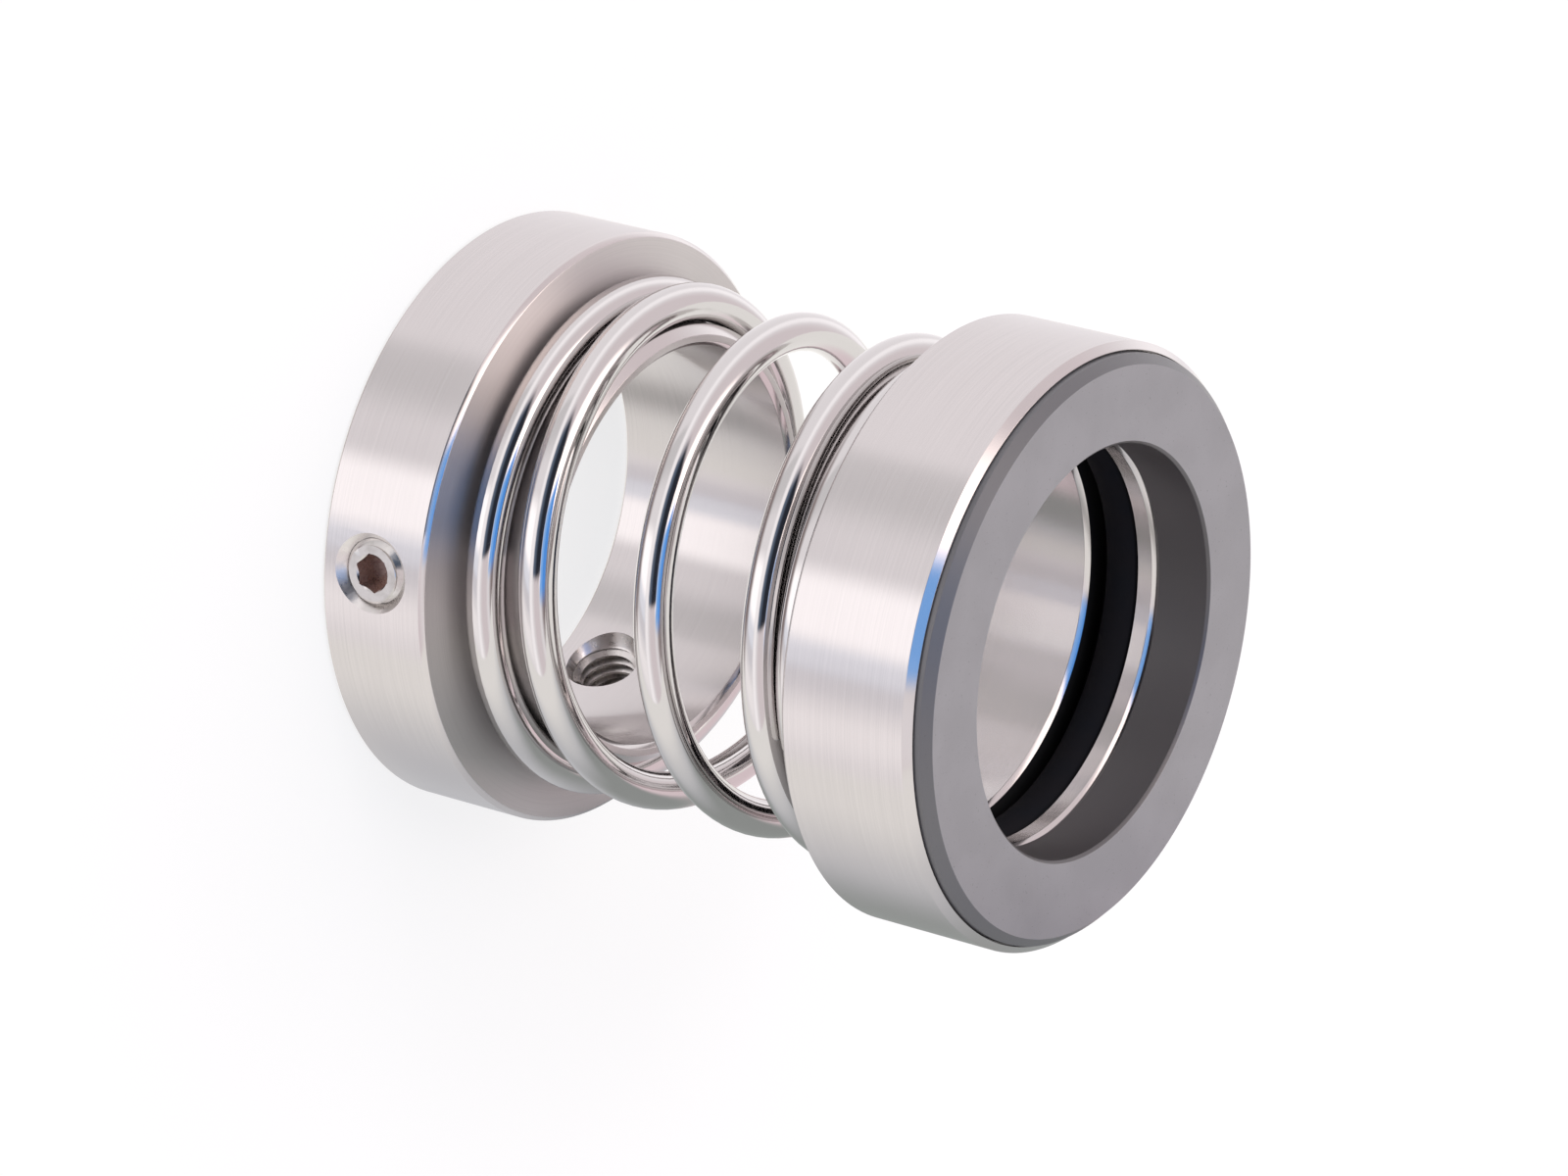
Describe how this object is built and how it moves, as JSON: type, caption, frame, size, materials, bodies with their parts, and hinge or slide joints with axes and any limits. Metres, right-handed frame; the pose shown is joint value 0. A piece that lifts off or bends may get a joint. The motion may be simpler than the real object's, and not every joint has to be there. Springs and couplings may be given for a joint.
{
  "type": "mechanical seal",
  "caption": "Rotating half of a shaft seal: collar with radial set screws, a single coil spring, and a head that carries an O-ring and a hard flat face ring.",
  "frame": {"origin": "on the shaft axis, in the plane of the drive collar's back face", "axes": "+Z along the shaft axis, from the drive collar to the sealing face; -Y towards the first set screw"},
  "size_m": [0.052, 0.052, 0.0611],
  "materials": {
    "turned_steel": "fine turned, satin",
    "screw_steel": "bright, slightly worn",
    "spring_wire": "polished drawn wire",
    "face_carbide": "lapped, matt grey silicon carbide",
    "oring_rubber": "moulded, satin black"
  },
  "bodies": {
    "collar": {"drive_collar": "turned_steel", "coil_spring": "spring_wire"},
    "head": {"seal_head": "turned_steel", "face_ring": "face_carbide", "o_ring": "oring_rubber"},
    "screw_1": {"set_screw_1": "screw_steel"},
    "screw_2": {"set_screw_2": "screw_steel"},
    "screw_3": {"set_screw_3": "screw_steel"}
  },
  "joints": [
    {"name": "head_travel", "type": "slide", "parent": "collar", "child": "head", "axis": [0, 0, 1], "range_m": [-0.014, 0], "stiffness_N_per_m": 6200, "deforming": ["coil_spring"]},
    {"name": "screw_1_travel", "type": "slide", "parent": "collar", "child": "screw_1", "axis": [0, 1, 0], "range_m": [0, 0.00425]},
    {"name": "screw_2_travel", "type": "slide", "parent": "collar", "child": "screw_2", "axis": [-0.866, -0.5, 0], "range_m": [0, 0.00425]},
    {"name": "screw_3_travel", "type": "slide", "parent": "collar", "child": "screw_3", "axis": [0.866, -0.5, 0], "range_m": [0, 0.00425]}
  ]
}
